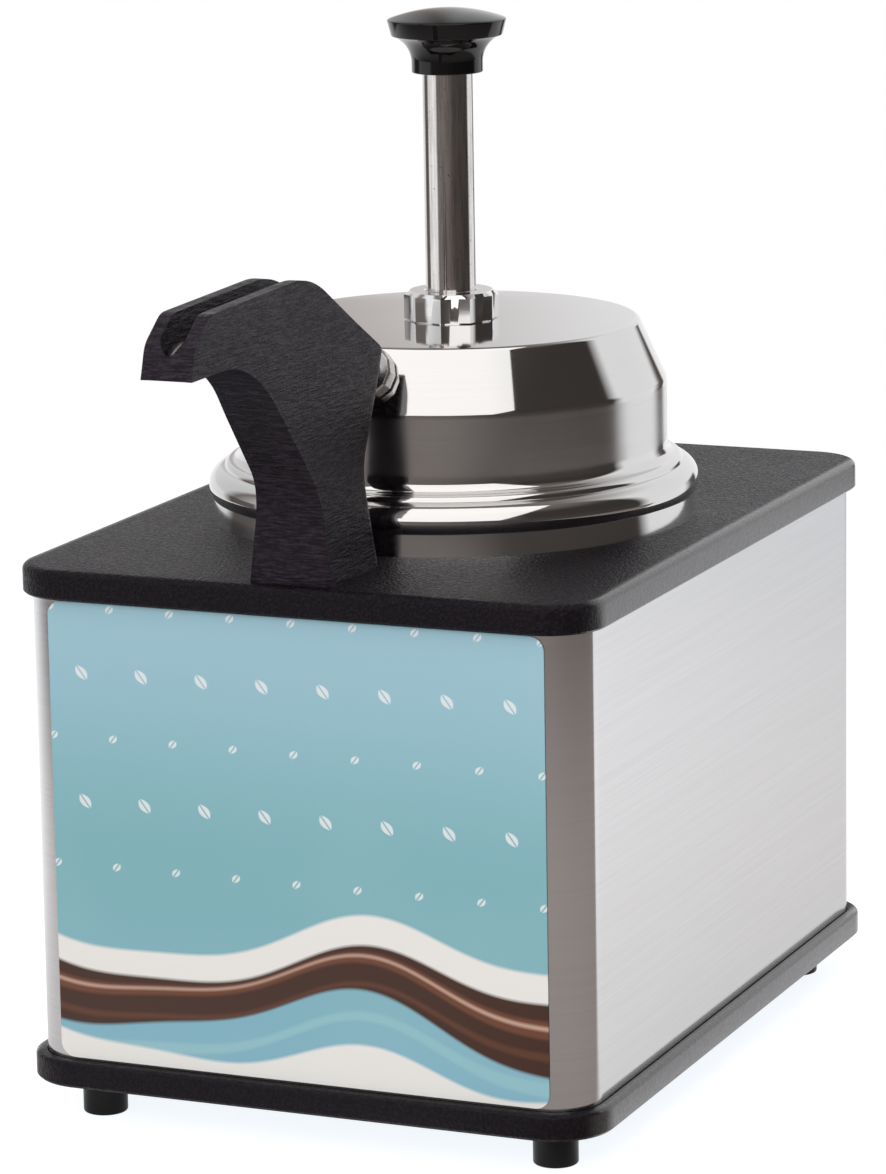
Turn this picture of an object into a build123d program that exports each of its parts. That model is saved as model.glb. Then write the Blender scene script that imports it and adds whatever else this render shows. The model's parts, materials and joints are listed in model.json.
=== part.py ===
"""Countertop topping warmer with a hand pump and a heated spout.

Millimetres, +Z up, z = 0 on the counter. The front of the cabinet faces -Y.
The shapes are drawn about the middle of the cabinet and moved once, at the end,
so that the origin lies under the middle of the overall length.
"""
from build123d import *
import math
import os

# Cabinet
body_w = 220.0
body_d = 304.0
body_r = 18.0
sheet = 0.9
foot_h = 15.5
foot_r = 8.3
foot_x = 90.5
foot_y = 131.0
tray_lip = 4.5
tray_h = 10.0
floor_t = 3.0
cover_z = 199.2
cover_t = 11.0
cover_lip = 3.6
cover_skin = 3.5
skirt_t = 3.0
rod_r = 2.5

# Water vessel and jar
pump_y = -1.8
vessel_r = 82.0
vessel_floor = 40.0
flange_r = 89.0
jar_r = 78.0
jar_floor = 45.0
jar_h = 178.0
floor_t = 0.8

# Lid
lid_r = 93.1
wall_r = 81.1
crown_r = 70.8
crown_z = 283.5
shoulder_z = 260.6
lid_sheet = 1.0
bead_z = 223.3
bead_r = 7.5
step_r = 5.9
neck_r = 13.0

# Pump
cyl_r = 19.0
cyl_bore = 17.5
cyl_z = 66.0
head_z = 262.0
stem_r = 9.5
nut_flats = 10
nut_r = 17.9
nut_h = 11.0
knob_r = 22.4
knob_rim_z = 396.8
knob_dome = 3.9
spring_r = 13.4
spring_wire = 1.1
spring_turns = 13
riser_y = pump_y - 30.0
tube_r = 4.3
tube_bore = 3.4
outlet_z = 273.8
run_z = 306.0
outlet_nut_r = 9.9
outlet_nut_h = 6.0
nozzle_y = -239.0
nozzle_z = 299.6

# Spout housing
cheek_t = 2.2
cheek_pins = [(-141.0, 232.0), (-150.0, 286.0)]
seam_step = 0.5
spout_tip_y = -246.4
slot_w = 9.4
slot_floor = 301.3
back_round = 8.0
back_corner_r = 10.5
heater_y = -129.0

# Rear controls
dial_x = -48.0
dial_z = 78.0
switch_x = 8.0
switch_z = 78.0
gland_x = 62.0
gland_z = 52.0
rocker_r = 12.0
rocker_tilt = 11.0

top_z = cover_z + cover_t
tray_z = foot_h
floor_z = tray_z + floor_t
back_y = body_d / 2
knob_end_y = back_y + 18.6
corners = [(sx * foot_x, sy * foot_y) for sx in (-1, 1) for sy in (-1, 1)]
cone_slope = (wall_r - crown_r) / (crown_z - shoulder_z)
tilt = math.atan(cone_slope)
outlet_y = pump_y - wall_r + (outlet_z - shoulder_z) * cone_slope
out_dir = Vector(0, -math.cos(tilt), math.sin(tilt))
pump_axis = Axis((0, pump_y, 0), (0, 0, 1))


def block(w, d, r, z0, z1):
    """Upright block with rounded corners, centred on the cabinet."""
    return extrude(Pos(0, 0, z0) * RectangleRounded(w, d, r), z1 - z0)


def rod(x, y, r, z0, z1):
    """Upright cylinder."""
    return Pos(x, y, z0) * Cylinder(r, z1 - z0, align=(Align.CENTER, Align.CENTER, Align.MIN))


def box(x0, x1, y0, y1, z0, z1):
    """Box between two corners."""
    return Pos(x0, y0, z0) * Box(x1 - x0, y1 - y0, z1 - z0, align=(Align.MIN, Align.MIN, Align.MIN))


def rearward(x, z, r, y0, y1):
    """Cylinder along +Y."""
    axis_plane = Plane((x, y0, z), x_dir=(1, 0, 0), z_dir=(0, 1, 0))
    return axis_plane * Cylinder(r, y1 - y0, align=(Align.CENTER, Align.CENTER, Align.MIN))


def turned(points, radii=None):
    """Solid of revolution about the pump axis from (radius, z) points."""
    if radii is None:
        outline = Polyline(*points, close=True)
    else:
        outline = FilletPolyline(*points, radius=radii, close=True)
    plane = Plane((0, pump_y, 0), x_dir=(1, 0, 0), z_dir=(0, -1, 0))
    return revolve(plane * make_face(outline), pump_axis)


def tube(points, radii, r, bore=0.0):
    """Round tube along straight runs joined by arcs."""
    path = FilletPolyline(*points, radius=radii)
    start = Plane(path @ 0, z_dir=path % 0)
    solid = sweep(start * Circle(r), path=path)
    if bore:
        solid -= sweep(start * Circle(bore), path=path)
    return solid


# ---------------------------------------------------------------- cabinet


def make_base_tray():
    outer = block(body_w + 2 * tray_lip, body_d + 2 * tray_lip, body_r + tray_lip, tray_z, tray_z + tray_h)
    outer = fillet(outer.faces().sort_by(Axis.Z)[-1].edges(), 1.6)
    outer = chamfer(outer.faces().sort_by(Axis.Z)[0].edges(), 1.2)
    tray = outer - block(body_w + 0.6, body_d + 0.6, body_r + 0.3, floor_z, tray_z + tray_h + 1)
    for x, y in corners:
        tray += rod(x, y, 7.0, floor_z, floor_z + 5)
        tray -= rod(x, y, rod_r + 0.1, tray_z - 1, floor_z + 6)
    for i in range(7):
        y = (i - 3) * 16.0
        for side in (-1, 1):
            slot = Pos(side * 70, y, tray_z - 1) * extrude(SlotOverall(34, 5), floor_t + 2)
            tray -= slot
    return tray


def make_feet():
    feet = []
    for x, y in corners:
        foot = rod(x, y, foot_r, 0, foot_h)
        foot = fillet(foot.faces().sort_by(Axis.Z)[0].edges(), 0.9)
        foot -= rod(x, y, 4.6, -1, 5)
        foot -= rod(x, y, rod_r + 0.1, 4, foot_h + 1)
        feet.append(foot)
    return feet


def make_foot_screws():
    screws = []
    for x, y in corners:
        screw = rod(x, y, rod_r, 3, floor_z + 1) + rod(x, y, 4.3, 2, 4.9)
        screws.append(screw)
    return screws


def make_tie_rods():
    return [rod(x, y, rod_r, floor_z + 1.2, cover_z + 5) for x, y in corners]


def make_wrapper():
    top = cover_z + cover_t - cover_skin - 0.2
    wrap = block(body_w, body_d, body_r, floor_z, top)
    wrap -= block(body_w - 2 * sheet, body_d - 2 * sheet, body_r - sheet, floor_z - 1, top + 1)
    wrap -= box(-0.25, 0.25, -back_y - 1, -back_y + 2, floor_z - 1, top + 1)
    wrap -= rearward(dial_x, dial_z, 5.0, back_y - 3, back_y + 1)
    wrap -= box(switch_x - 9.6, switch_x + 9.6, back_y - 3, back_y + 1, switch_z - 13.6, switch_z + 13.6)
    wrap -= rearward(gland_x, gland_z, 8.0, back_y - 3, back_y + 1)
    return wrap


def make_seam_strip():
    y = -back_y + sheet
    return box(-10, 10, y, y + 0.8, floor_z + 1, cover_z + 5)


def make_front_graphic():
    face = Plane((0, -back_y, 112.5), x_dir=(1, 0, 0), z_dir=(0, -1, 0))
    return extrude(face * RectangleRounded(194, 172, 5.5), 0.4)


def make_top_cover():
    w = body_w + 2 * cover_lip
    d = body_d + 2 * cover_lip
    cap = block(w, d, body_r + cover_lip, cover_z, top_z)
    cap = fillet(cap.faces().sort_by(Axis.Z)[-1].edges(), 2.6)
    cap = chamfer(cap.faces().sort_by(Axis.Z)[0].edges(), 0.8)
    inner_r = body_r + cover_lip - skirt_t
    cap -= block(w - 2 * skirt_t, d - 2 * skirt_t, inner_r, cover_z - 1, top_z - cover_skin)
    collar = rod(0, pump_y, vessel_r + 3.2, cover_z + 2, top_z - 1)
    cap += collar
    cap -= rod(0, pump_y, vessel_r + 0.6, cover_z - 1, top_z + 1)
    for x, y in corners:
        cap += rod(x, y, 6.0, cover_z + 1, top_z - 1)
        cap -= rod(x, y, rod_r + 0.1, cover_z, cover_z + 5.5)
    cap -= rod(0, heater_y, 5.6, cover_z - 1, top_z + 1)
    for y in (heater_y - 14, heater_y + 13):
        cap -= rod(0, y, 2.2, cover_z - 1, top_z + 1)
    return cap


def make_water_vessel():
    top = top_z + 1.7
    wall = rod(0, pump_y, vessel_r, vessel_floor + floor_t, top)
    wall += rod(0, pump_y, flange_r, top - 0.8, top)
    return wall - rod(0, pump_y, vessel_r - 0.8, vessel_floor, top + 1)


def make_vessel_floor():
    return rod(0, pump_y, vessel_r, vessel_floor, vessel_floor + floor_t)


def make_vessel_gasket():
    disc = rod(0, pump_y, flange_r - 0.5, top_z, top_z + 0.8)
    return disc - rod(0, pump_y, vessel_r + 1.6, top_z - 1, top_z + 2)


def make_jar_rest():
    z0 = vessel_floor + floor_t
    ring = rod(0, pump_y, 60, z0, jar_floor) - rod(0, pump_y, 52, z0 - 1, jar_floor + 1)
    for i in range(6):
        notch = Rot(0, 0, i * 60) * box(48, 64, -7, 7, z0 - 1, z0 + 2.4)
        ring -= Pos(0, pump_y, 0) * notch
    return ring


def make_insulation():
    sleeve = rod(0, pump_y, 93, 46, 196) - rod(0, pump_y, vessel_r + 0.8, 45, 197)
    pocket = box(-9, 9, pump_y + 78, pump_y + 95, 60, 146)
    return sleeve - pocket


def make_heating_element():
    z = vessel_floor - 4.1
    plane = Plane((0, pump_y, z), x_dir=(1, 0, 0), z_dir=(0, -1, 0))
    ring = revolve(plane * (Pos(50, 0) * Circle(3.9)), pump_axis, revolution_arc=330)
    ring = Pos(0, pump_y, 0) * (Rot(0, 0, 105) * (Pos(0, -pump_y, 0) * ring))
    for end in ring.faces().filter_by(GeomType.PLANE):
        c = end.center()
        ring += rod(c.X, c.Y, 3.9, z - 9, z)
    return ring


def make_heater_clamp():
    z = vessel_floor - 8.2
    plate = rod(0, pump_y, 56, z - 1.5, z) - rod(0, pump_y, 3.2, z - 2, z + 1)
    for i in range(4):
        window = rod(27, 0, 11, z - 2, z + 1)
        plate -= Pos(0, pump_y, 0) * (Rot(0, 0, 45 + i * 90) * window)
    gap = box(-20, 20, 36, 60, z - 2, z + 1)
    return plate - Pos(0, pump_y, 0) * gap


def make_clamp_stud():
    stud = rod(0, pump_y, 3.0, 22, vessel_floor)
    nut_plane = Pos(0, pump_y, vessel_floor - 13.4)
    return stud + nut_plane * extrude(RegularPolygon(6.4, 6), 3.6)


def make_thermostat():
    y = back_y - sheet
    case = box(dial_x - 17, dial_x + 17, y - 24, y, dial_z - 14, dial_z + 14)
    case = fillet(case.edges().filter_by(Axis.Y), 2.5)
    case += rearward(dial_x, dial_z, 4.8, y - 1, back_y + 1.4)
    return case + rearward(dial_x, dial_z, 3.0, y - 1, back_y + 14)


def make_thermostat_bulb():
    bulb = rod(0, pump_y + vessel_r + 3.5, 3.2, 66, 130)
    y0 = pump_y + vessel_r + 3.5
    y1 = back_y - sheet - 26
    y2 = y1 - 12
    points = [(0, y0, 129), (0, y0, 142), (0, y2, 142), (dial_x, y2, 142), (dial_x, y2, dial_z + 4)]
    plug = box(dial_x - 1, dial_x + 1, y2 - 1, y1 + 2, dial_z + 2, dial_z + 6)
    return bulb + tube(points, [4, 8, 8], 0.9) + plug


def make_dial_plate():
    plate = rearward(dial_x, dial_z, 26, back_y, back_y + 0.8)
    return plate - rearward(dial_x, dial_z, 5.0, back_y - 1, back_y + 2)


def make_thermostat_knob():
    y0 = knob_end_y - 17
    skirt = rearward(dial_x, dial_z, 19, y0, y0 + 3.5)
    skirt = chamfer(skirt.faces().sort_by(Axis.Y)[-1].edges(), 1.0)
    grip = rearward(dial_x, dial_z, 14, y0 + 3, y0 + 17)
    grip = fillet(grip.faces().sort_by(Axis.Y)[-1].edges(), 1.6)
    for i in range(18):
        a = math.radians(i * 20 + 10)
        grip -= rearward(dial_x + 14.6 * math.cos(a), dial_z + 14.6 * math.sin(a), 1.5, y0 + 4.5, y0 + 18)
    knob = skirt + grip
    return knob - rearward(dial_x, dial_z, 3.06, y0 - 1, back_y + 14.2)


def make_switch_frame():
    y = back_y
    frame = box(switch_x - 11.5, switch_x + 11.5, y, y + 2, switch_z - 16, switch_z + 16)
    frame = fillet(frame.edges().filter_by(Axis.Y), 2)
    frame += box(switch_x - 9.4, switch_x + 9.4, y - 20, y + 1, switch_z - 13.4, switch_z + 13.4)
    frame -= box(switch_x - 7.8, switch_x + 7.8, y - 14.5, y + 3, switch_z - 12.5, switch_z + 12.5)
    frame -= across(y - 2, switch_z, 1.38, switch_x - 8.7, switch_x + 8.7)
    for x in (-5, 5):
        frame += box(switch_x + x - 0.4, switch_x + x + 0.4, y - 27, y - 20, switch_z - 3, switch_z + 3)
    return frame


def make_power_rocker():
    y = back_y - 2
    edge = rocker_r * math.cos(math.radians(62))
    reach = rocker_r * math.sin(math.radians(62))
    plane = Plane((switch_x - 7.4, y, switch_z), x_dir=(0, 1, 0), z_dir=(1, 0, 0))
    points = [(-4, -5), (edge, -reach), (edge + 0.6, -reach + 0.8), (edge - 1.6, 0),
              (edge + 0.6, reach - 0.8), (edge, reach), (-4, 5)]
    rocker = extrude(plane * make_face(Polyline(*points, close=True)), 14.8)
    rocker += across(y, switch_z, 1.3, switch_x - 8.6, switch_x + 8.6)
    return turn_about_x(rocker, y)


def turn_about_x(solid, y):
    """Tilt the rocker about its pivot line."""
    return Pos(0, y, switch_z) * (Rot(rocker_tilt, 0, 0) * (Pos(0, -y, -switch_z) * solid))


def make_cord_gland():
    y = back_y
    gland = rearward(gland_x, gland_z, 7.9, y - 9, y + 1)
    collar = rearward(gland_x, gland_z, 11, y, y + 5)
    collar = fillet(collar.faces().sort_by(Axis.Y)[-1].edges(), 1.5)
    nut_plane = Plane((gland_x, y - sheet - 4, gland_z), x_dir=(1, 0, 0), z_dir=(0, 1, 0))
    nut = nut_plane * extrude(RegularPolygon(11.5, 6), 4)
    return gland + collar + nut - rearward(gland_x, gland_z, 3.75, y - 10, y + 6)


def make_terminal_block():
    base = box(20, 56, 96, 112, floor_z, floor_z + 4)
    for i in range(4):
        x = 23 + i * 8
        base += box(x, x + 6.5, 98, 110, floor_z + 3, floor_z + 14)
        base -= rod(x + 3.25, 104, 1.6, floor_z + 8, floor_z + 15)
    return base


# ---------------------------------------------------------------- spout


def spout_side(inset, corner_r):
    """Side outline of the spout housing as a (y, z) face, drawn in by inset."""
    base = top_z - inset
    points = [
        (-151.0, base), (-150.5, 244.0), (-199.3, 299.1), (spout_tip_y, 299.1), (-243.2, 310.5),
        (-230.5, 319.6), (-149.3, 321.3), (-84.6, 283.4), (-107.4, 243.5), (-104.6, base),
    ]
    radii = [0, 30, 50, 0, 9, 10, 52, corner_r, 26, 0]
    face = make_face(rounded_polygon(points, radii))
    if inset:
        face = offset(face, amount=-inset).faces()[0]
    return face


def rounded_polygon(points, radii):
    """Closed outline whose corners take the radii given, with sharp ones at zero."""
    face = make_face(Polyline(*points, close=True))
    for point, radius in zip(points, radii):
        if radius:
            corner = face.vertices().sort_by_distance((point[0], point[1], 0))[0]
            face = fillet(corner, radius)
    return face.edges()


def spout_front(step):
    """Front outline as an (x, z) face: the neck narrows upwards, the head is nearly straight."""
    halves = [(16.2, top_z - 2), (11.7, 248.0), (11.0, 276.0), (9.5, 300.0), (9.2, 330.0)]
    right = [(x - step, z) for x, z in halves]
    left = [(-x + step, z) for x, z in reversed(halves)]
    return make_face(rounded_polygon(right + left, [0, 120, 200, 200, 0, 0, 200, 200, 120, 0]))


def spout_solid(inset):
    """The side outline carried across and cut to the front outline, its back edges rounded first."""
    side_plane = Plane((-20, 0, 0), x_dir=(0, 1, 0), z_dir=(1, 0, 0))
    slab = extrude(side_plane * spout_side(inset, 0), 40)
    solid = slab & spout_column(0)
    solid = fillet(back_edges(solid), back_round - inset)
    return solid & extrude(side_plane * spout_side(inset, back_corner_r), 40)


def spout_column(step):
    """The front outline carried from front to back, narrowed by step on each side."""
    front_plane = Plane((0, -60, 0), x_dir=(1, 0, 0), z_dir=(0, -1, 0))
    return extrude(front_plane * spout_front(step), 200)


def back_edges(solid):
    """The long edges at the back of the neck."""
    found = []
    for edge in solid.edges():
        c = edge @ 0.5
        if c.Y > -112 and top_z + 1 < c.Z < 283 and abs(c.X) > 5:
            found.append(edge)
    return found


def slot_cut():
    """Open slot for the discharge tube, from the nozzle to the back of the head."""
    side_plane = Plane((-slot_w / 2, 0, 0), x_dir=(0, 1, 0), z_dir=(1, 0, 0))
    drop = slot_w / 2 / math.cos(tilt)
    bend_y = outlet_y - (run_z - outlet_z) / math.tan(tilt)
    low_y = -70.0
    low_z = outlet_z - drop - (low_y - outlet_y) * math.tan(tilt)
    knee_y = bend_y - slot_w / 2 * math.tan(tilt / 2)
    points = [(nozzle_y, slot_floor), (knee_y, slot_floor), (low_y, low_z), (low_y, 335), (nozzle_y, 335)]
    face = make_face(rounded_polygon(points, [0, 35, 0, 0, 0]))
    cut = extrude(side_plane * face, slot_w) + rod(0, nozzle_y, slot_w / 2, 290, 335)
    return cut + spout_line(slot_w / 2 - 0.1)


def make_spout_core():
    solid = (spout_solid(seam_step) & spout_column(cheek_t)) - slot_cut()
    solid -= rod(0, heater_y, 4.85, top_z - 1, 274)
    for y in (heater_y - 14, heater_y + 13):
        solid -= rod(0, y, 1.7, top_z - 1, top_z + 14)
    for y, z in cheek_pins:
        solid -= across(y, z, 2.05, -20, -6.9)
        solid -= across(y, z, 2.05, 6.9, 20)
    return solid


def across(y, z, r, x0, x1):
    """Cylinder along +X."""
    axis_plane = Plane((x0, y, z), x_dir=(0, 1, 0), z_dir=(1, 0, 0))
    return axis_plane * Cylinder(r, x1 - x0, align=(Align.CENTER, Align.CENTER, Align.MIN))


def make_cheek(side):
    """One side plate of the spout, held by two studs that press into the core."""
    half = spout_solid(0) & box(0, 40, -260, -60, top_z - 2, 340)
    cheek = half - spout_column(cheek_t)
    for y, z in cheek_pins:
        cheek += across(y, z, 2.0, 7.0, 20) & half
    return cheek if side > 0 else mirror(cheek, Plane.YZ)


def make_spout_heater():
    return rod(0, heater_y, 4.75, cover_z + 6, 272)


def make_spout_screws():
    screws = []
    for y in (heater_y - 14, heater_y + 13):
        z = top_z - cover_skin
        screws.append(rod(0, y, 1.6, z - 1, top_z + 12) + rod(0, y, 3.6, z - 2.6, z))
    return screws


# ---------------------------------------------------------------- lid and pump


def lid_outline():
    """The lid as a solid (radius, z) face: skirt, two rolled beads, wall, sloping shoulder and crown."""
    inner_r = 5.0
    low_z = top_z - 4
    dome = make_face(Polyline((inner_r, low_z), (wall_r, low_z), (wall_r, shoulder_z), (crown_r, crown_z),
                              (inner_r, crown_z), close=True))
    skirt = Pos(inner_r, low_z) * Rectangle(lid_r - inner_r, bead_z - low_z, align=(Align.MIN, Align.MIN))
    bead = Pos(lid_r - bead_r, bead_z) * Circle(bead_r)
    step = Pos(wall_r + 0.4, bead_z + 7) * Circle(step_r)
    face = dome + skirt + bead + step
    rounds = [((wall_r, bead_z + 7 + step_r), 4.0), ((wall_r, shoulder_z), 4.0), ((crown_r, crown_z), 2.4)]
    for point, radius in rounds:
        corner = face.vertices().sort_by_distance((point[0], point[1], 0))[0]
        face = fillet(corner, radius)
    return face


def make_lid_shell():
    outer = lid_outline()
    section = outer - offset(outer, amount=-lid_sheet)
    keep = Pos(neck_r + 0.4, top_z) * Rectangle(100, 100, align=(Align.MIN, Align.MIN))
    plane = Plane((0, pump_y, 0), x_dir=(1, 0, 0), z_dir=(0, -1, 0))
    shell = revolve(plane * (section & keep), pump_axis)
    return shell - along_outlet(6.2, -5, 5)


def along_outlet(r, s0, s1):
    """Cylinder on the tilted outlet line, from s0 to s1 past the lid's face."""
    start = Vector(0, outlet_y, outlet_z) + out_dir * s0
    plane = Plane(start, x_dir=(1, 0, 0), z_dir=out_dir)
    return plane * Cylinder(r, s1 - s0, align=(Align.CENTER, Align.CENTER, Align.MIN))


def make_lock_nut():
    nut = Pos(0, pump_y, crown_z) * (Rot(0, 0, 28) * extrude(RegularPolygon(nut_r, nut_flats), nut_h))
    cone = turned([(0, crown_z - 1), (nut_r + 1.6, crown_z - 1), (nut_r + 1.6, crown_z + nut_h - 1.6),
                   (nut_r - 1.0, crown_z + nut_h), (0, crown_z + nut_h)])
    nut = nut & cone
    nut -= rod(0, pump_y, neck_r + 0.08, crown_z - 1, crown_z + 7.3)
    return nut - rod(0, pump_y, stem_r + 0.25, crown_z, crown_z + nut_h + 1)


def make_head_gasket():
    disc = rod(0, pump_y, 23, crown_z - 1.6, crown_z - lid_sheet)
    return disc - rod(0, pump_y, neck_r + 0.3, crown_z - 3, crown_z)


def make_pump_head():
    seat = crown_z - 1.6
    return turned([
        (12.0, head_z), (cyl_bore - 0.05, head_z), (cyl_bore - 0.05, seat - 3.4), (24, seat - 3.4),
        (24, seat), (neck_r, seat), (neck_r, crown_z + 7), (12.0, crown_z + 7),
    ])


def make_stem_bushing():
    return rod(0, pump_y, 12.0, head_z + 1, crown_z + 7) - rod(0, pump_y, stem_r + 0.08, head_z, crown_z + 8)


def make_pump_cylinder():
    top = crown_z - 5.0
    return rod(0, pump_y, cyl_r, cyl_z, top) - rod(0, pump_y, cyl_bore, cyl_z - 1, top + 1)


def make_valve_body():
    z0 = jar_floor + 5
    body = turned([(0, z0), (19, z0), (22, z0 + 3), (22, cyl_z + 6), (0, cyl_z + 6)])
    body += rod(0, riser_y, 8.5, z0, cyl_z + 6)
    body += box(-6, 6, riser_y, pump_y, z0, cyl_z)
    body -= rod(0, pump_y, cyl_r, cyl_z, cyl_z + 7)
    body -= rod(0, pump_y, 9.5, z0 + 8, cyl_z + 1)
    body -= rod(0, pump_y, 5.0, z0 - 1, z0 + 9)
    body -= rod(0, riser_y, tube_bore, z0 + 6, cyl_z + 7)
    body -= rearward(0, z0 + 11, 2.8, riser_y, pump_y - 7)
    return body - rod(0, riser_y, tube_r, cyl_z, cyl_z + 7)


def make_valve_ball():
    return Pos(0, pump_y, jar_floor + 13 + 4.2) * Sphere(6.5)


def make_spring_seat():
    z = cyl_z + 6
    seat = rod(0, pump_y, cyl_bore - 0.1, z, z + 2) - rod(0, pump_y, 6, z - 1, z + 3)
    for i in range(6):
        a = math.radians(i * 60)
        seat -= rod(10.5 * math.cos(a), pump_y + 10.5 * math.sin(a), 2.2, z - 1, z + 3)
    return seat


def make_return_spring():
    z0 = cyl_z + 8.2 + spring_wire
    z1 = head_z - 16.4 - spring_wire
    pitch = (z1 - z0) / spring_turns
    path = Helix(pitch=pitch, height=z1 - z0, radius=spring_r, center=(0, pump_y, z0))
    section = Plane(path @ 0, z_dir=path % 0) * RegularPolygon(spring_wire, 6)
    return sweep(section, path=path, is_frenet=True)


def make_riser_tube():
    foot = (0, riser_y, cyl_z)
    bend_z = outlet_z - (riser_y - outlet_y) * math.tan(tilt)
    end = Vector(0, outlet_y, outlet_z) + out_dir * 2
    return tube([foot, (0, riser_y, bend_z), tuple(end)], [14], tube_r, tube_bore)


def spout_line(r, bore=0.0):
    """Round bar or tube from the lid's outlet to the nozzle."""
    start = Vector(0, outlet_y, outlet_z) + out_dir * 2
    bend_y = outlet_y - (run_z - outlet_z) / math.tan(tilt)
    points = [tuple(start), (0, bend_y, run_z), (0, nozzle_y, run_z), (0, nozzle_y, nozzle_z)]
    return tube(points, [40, 6.2], r, bore)


def make_spout_tube():
    return spout_line(tube_r, tube_bore)


def make_outlet_fitting():
    fitting = along_outlet(5.8, -9, 7.4) + along_outlet(9.0, -6.4, -3.4)
    return fitting - along_outlet(tube_r + 0.02, -10, 10)


def make_outlet_gasket():
    """Rubber washer moulded to the inside of the lid's sloping shoulder."""
    plane = Plane((0, pump_y, 0), x_dir=(1, 0, 0), z_dir=(0, -1, 0))
    room = revolve(plane * offset(lid_outline(), amount=-lid_sheet), pump_axis)
    return (along_outlet(9.0, -3.4, 2) - along_outlet(5.9, -10, 10)) & room


def make_outlet_nut():
    start = Vector(0, outlet_y, outlet_z) + out_dir * 0.8
    plane = Plane(start, x_dir=(1, 0, 0), z_dir=out_dir)
    nut = plane * extrude(RegularPolygon(outlet_nut_r, 12), outlet_nut_h)
    nut = chamfer(nut.faces().sort_by_distance(tuple(start + out_dir * 10))[0].edges(), 0.7)
    return nut - along_outlet(5.85, -1, 10)


# ---------------------------------------------------------------- plunger


def make_stem():
    z0 = head_z - 12
    return rod(0, pump_y, stem_r, z0, 388) - rod(0, pump_y, stem_r - 1.2, z0 - 1, 389)


def make_piston():
    z1 = head_z - 0.4
    piston = rod(0, pump_y, cyl_bore - 0.15, z1 - 15.6, z1)
    piston -= rod(0, pump_y, stem_r, head_z - 12, z1 + 1)
    groove = rod(0, pump_y, cyl_bore + 1, z1 - 9, z1 - 4) - rod(0, pump_y, cyl_bore - 2.5, z1 - 10, z1 - 3)
    return piston - groove


def make_piston_seal():
    z1 = head_z - 0.4
    return rod(0, pump_y, cyl_bore - 0.04, z1 - 9, z1 - 4) - rod(0, pump_y, cyl_bore - 2.5, z1 - 10, z1 - 3)


def make_knob():
    collar_z = knob_rim_z - 20.1
    cove_z = knob_rim_z - 15.6
    band_z = knob_rim_z - 6.2
    top = knob_rim_z + knob_dome
    dome_r = knob_r - 1.0
    rise = knob_dome - 0.2
    sphere_r = (dome_r**2 + rise**2) / (2 * rise)
    mid_z = top - sphere_r + math.sqrt(sphere_r**2 - 11.0**2)
    edges = [
        Line((0, collar_z), (13.4, collar_z)),
        Line((13.4, collar_z), (13.4, cove_z)),
        ThreePointArc((13.4, cove_z), (15.2, band_z - 4.2), (19.4, band_z - 0.6)),
        Line((19.4, band_z - 0.6), (20.9, band_z)),
        Line((20.9, band_z), (knob_r, knob_rim_z - 0.6)),
        ThreePointArc((knob_r, knob_rim_z - 0.6), (knob_r - 0.25, knob_rim_z), (dome_r, top - rise)),
        ThreePointArc((dome_r, top - rise), (11.0, mid_z), (0, top)),
        Line((0, top), (0, collar_z)),
    ]
    plane = Plane((0, pump_y, 0), x_dir=(1, 0, 0), z_dir=(0, -1, 0))
    knob = revolve(plane * make_face(edges), pump_axis)
    return knob - rod(0, pump_y, stem_r, collar_z - 1, 388)


# ---------------------------------------------------------------- jar


def make_jar():
    top = jar_floor + jar_h
    wall = rod(0, pump_y, jar_r, jar_floor + floor_t, top)
    plane = Plane((0, pump_y, 0), x_dir=(1, 0, 0), z_dir=(0, -1, 0))
    bead = revolve(plane * (Pos(jar_r + 0.4, top - 1.4) * Circle(1.5)), pump_axis)
    return wall + bead - rod(0, pump_y, jar_r - 0.7, jar_floor, top + 1)


def make_jar_floor():
    return rod(0, pump_y, jar_r, jar_floor, jar_floor + floor_t)


makers = {
    "base_tray": make_base_tray,
    "rubber_feet": make_feet,
    "foot_screws": make_foot_screws,
    "tie_rods": make_tie_rods,
    "wrapper_shell": make_wrapper,
    "seam_strip": make_seam_strip,
    "front_graphic": make_front_graphic,
    "top_cover": make_top_cover,
    "water_vessel": make_water_vessel,
    "vessel_floor": make_vessel_floor,
    "vessel_gasket": make_vessel_gasket,
    "jar_rest": make_jar_rest,
    "insulation_sleeve": make_insulation,
    "heating_element": make_heating_element,
    "heater_clamp": make_heater_clamp,
    "clamp_stud": make_clamp_stud,
    "thermostat": make_thermostat,
    "thermostat_bulb": make_thermostat_bulb,
    "dial_plate": make_dial_plate,
    "thermostat_knob": make_thermostat_knob,
    "switch_frame": make_switch_frame,
    "power_rocker": make_power_rocker,
    "cord_gland": make_cord_gland,
    "terminal_block": make_terminal_block,
    "spout_core": make_spout_core,
    "spout_cheek_left": lambda: make_cheek(-1),
    "spout_cheek_right": lambda: make_cheek(1),
    "spout_heater": make_spout_heater,
    "spout_screws": make_spout_screws,
    "lid_shell": make_lid_shell,
    "lock_nut": make_lock_nut,
    "head_gasket": make_head_gasket,
    "pump_head": make_pump_head,
    "stem_bushing": make_stem_bushing,
    "pump_cylinder": make_pump_cylinder,
    "valve_body": make_valve_body,
    "valve_ball": make_valve_ball,
    "spring_seat": make_spring_seat,
    "return_spring": make_return_spring,
    "riser_tube": make_riser_tube,
    "spout_tube": make_spout_tube,
    "outlet_fitting": make_outlet_fitting,
    "outlet_gasket": make_outlet_gasket,
    "outlet_nut": make_outlet_nut,
    "stem": make_stem,
    "piston": make_piston,
    "piston_seal": make_piston_seal,
    "plunger_knob": make_knob,
    "jar": make_jar,
    "jar_floor": make_jar_floor,
}

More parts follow.
